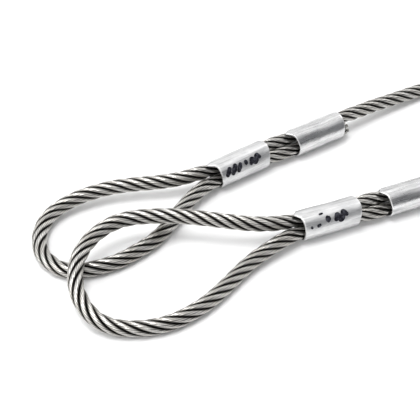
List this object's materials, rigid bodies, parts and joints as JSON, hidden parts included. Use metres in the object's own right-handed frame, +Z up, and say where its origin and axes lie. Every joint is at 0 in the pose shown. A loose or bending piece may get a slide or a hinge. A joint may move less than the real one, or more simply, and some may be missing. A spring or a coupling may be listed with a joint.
{
  "type": "wire rope sling",
  "caption": "Steel wire rope sling laid doubled over, with a soft eye at each end closed by pressed aluminium ferrules.",
  "frame": {"origin": "centre of the footprint of the sling as it lies, on the surface it lies on", "axes": "+X along the sling from its eyes to the turned-back middle of the rope, +Z up"},
  "size_m": [0.58, 0.143, 0.025],
  "materials": {
    "wire_rope": "bright drawn steel wires laid in six strands, a little grease in the grooves",
    "cut_strand": "sheared wire ends, bright with dark gaps",
    "rope_core": "dull steel core rope, darker than the strands",
    "aluminium": "cold pressed aluminium with faint lines along it, satin"
  },
  "bodies": {
    "rope_middle": {"rear_run_of_rope": "wire_rope", "rear_live_rope": "wire_rope", "bight_rope": "wire_rope"},
    "rear_end": {"rear_inner_ferrule": "aluminium", "rear_outer_ferrule": "aluminium", "rear_eye_loop": "wire_rope", "rear_live_leg": "wire_rope", "rear_dead_leg": "wire_rope", "rear_cut_end_strands": "cut_strand", "rear_cut_end_core": "rope_core"},
    "front_half": {"front_run_of_rope": "wire_rope", "front_live_rope": "wire_rope"},
    "front_end": {"front_inner_ferrule": "aluminium", "front_outer_ferrule": "aluminium", "front_live_leg": "wire_rope", "front_dead_leg": "wire_rope", "front_cut_end_strands": "cut_strand", "front_cut_end_core": "rope_core", "front_neck_rope": "wire_rope"},
    "front_eye": {"front_eye_loop": "wire_rope"}
  },
  "joints": [
    {"name": "bight_open", "type": "hinge", "parent": "rope_middle", "child": "front_half", "pos_m": [0.285, 0, 0.005], "axis": [0, 0, 1], "range_deg": [0, 35], "deforming": ["bight_rope"]},
    {"name": "rear_end_swing", "type": "hinge", "parent": "rope_middle", "child": "rear_end", "pos_m": [-0.029, 0.046, 0.0105], "axis": [0, 0, -1], "range_deg": [0, 20], "deforming": ["rear_live_rope"]},
    {"name": "front_end_lift", "type": "hinge", "parent": "front_half", "child": "front_end", "pos_m": [-0.008, -0.045, 0.011], "axis": [0.1045, 0.9945, 0], "range_deg": [0, 35], "stiffness_Nm_per_rad": 0.3, "deforming": ["front_live_rope"]},
    {"name": "front_eye_lift", "type": "hinge", "parent": "front_end", "child": "front_eye", "pos_m": [-0.15, -0.032, 0.012], "axis": [0.1305, 0.9914, 0], "range_deg": [0, 25], "stiffness_Nm_per_rad": 0.3, "deforming": ["front_neck_rope"]}
  ]
}
